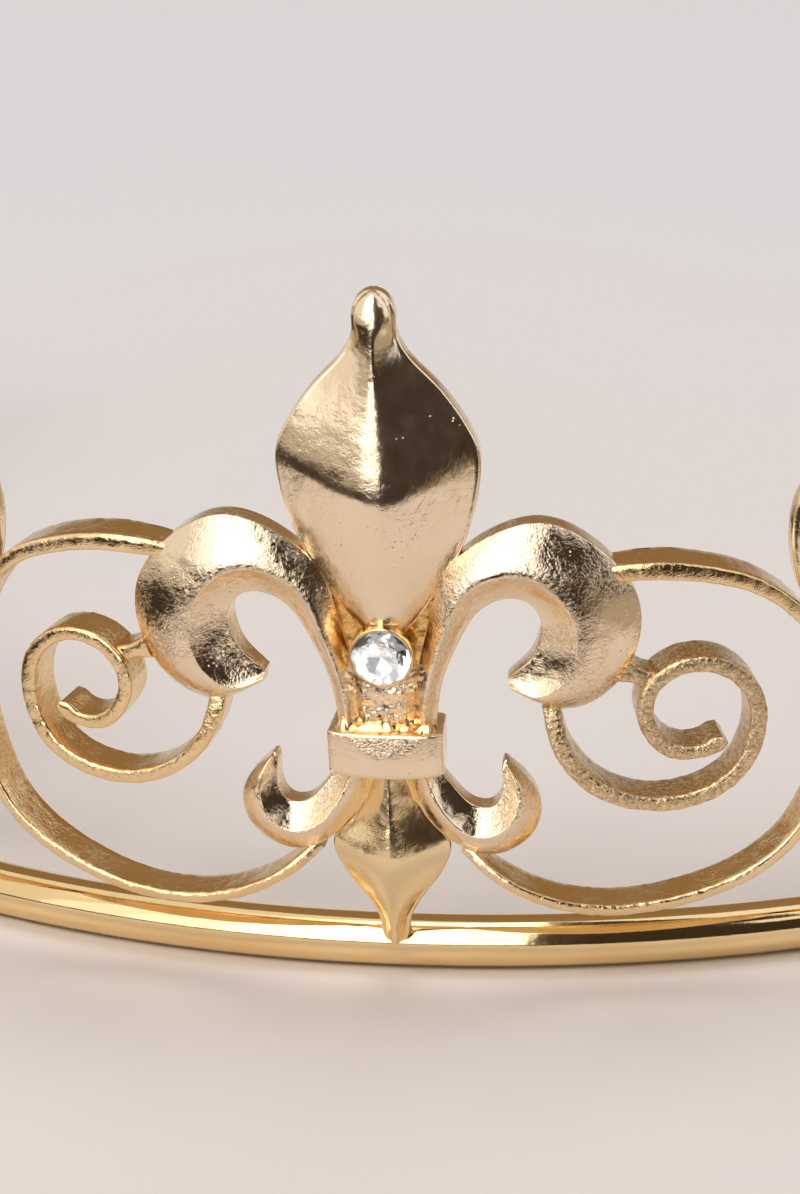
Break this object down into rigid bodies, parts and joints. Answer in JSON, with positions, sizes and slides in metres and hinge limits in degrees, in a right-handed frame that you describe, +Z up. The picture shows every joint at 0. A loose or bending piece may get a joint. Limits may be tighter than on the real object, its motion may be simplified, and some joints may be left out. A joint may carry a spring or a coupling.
{
  "type": "crown",
  "caption": "Open-back crown: a round tube band that carries leaning fleur-de-lis, each with a collar, a set stone, side scrolls and spirals, and small leaves between them.",
  "frame": {"origin": "centre of the band's circle, on the plane that the band rests on", "axes": "-Y points out through the front ornament, +X to the right of a person who looks at the front, +Z up"},
  "size_m": [0.1694, 0.1325, 0.0556],
  "materials": {
    "band_plating": "polished pale gold plating",
    "cast_plating": "pale gold plating on a cast, lightly grained face",
    "scroll_plating": "pale gold plating on cast strip",
    "setting_plating": "bright gold plating",
    "solder_plating": "gold plating over solder",
    "crystal": "clear faceted rhinestone with a silvered back"
  },
  "bodies": {
    "root": {"band": "band_plating", "band_end_left": "band_plating", "band_end_right": "band_plating", "solder_beads": "solder_plating", "fleur_front": "cast_plating", "collar_front": "cast_plating", "stone_cup_front": "setting_plating", "stone_front": "crystal", "scroll_front_a": "scroll_plating", "spiral_front_a": "scroll_plating", "scroll_front_b": "scroll_plating", "spiral_front_b": "scroll_plating", "fleur_left": "cast_plating", "collar_left": "cast_plating", "stone_cup_left": "setting_plating", "stone_left": "crystal", "scroll_left_a": "scroll_plating", "spiral_left_a": "scroll_plating", "scroll_left_b": "scroll_plating", "spiral_left_b": "scroll_plating", "fleur_right": "cast_plating", "collar_right": "cast_plating", "stone_cup_right": "setting_plating", "stone_right": "crystal", "scroll_right_a": "scroll_plating", "spiral_right_a": "scroll_plating", "scroll_right_b": "scroll_plating", "spiral_right_b": "scroll_plating", "fleur_far_left": "cast_plating", "collar_far_left": "cast_plating", "stone_cup_far_left": "setting_plating", "stone_far_left": "crystal", "scroll_far_left_a": "scroll_plating", "spiral_far_left_a": "scroll_plating", "scroll_far_left_b": "scroll_plating", "spiral_far_left_b": "scroll_plating", "fleur_far_right": "cast_plating", "collar_far_right": "cast_plating", "stone_cup_far_right": "setting_plating", "stone_far_right": "crystal", "scroll_far_right_a": "scroll_plating", "spiral_far_right_a": "scroll_plating", "scroll_far_right_b": "scroll_plating", "spiral_far_right_b": "scroll_plating", "bud_front_left": "cast_plating", "bud_front_right": "cast_plating", "bud_side_left": "cast_plating", "bud_side_right": "cast_plating"}
  },
  "joints": []
}
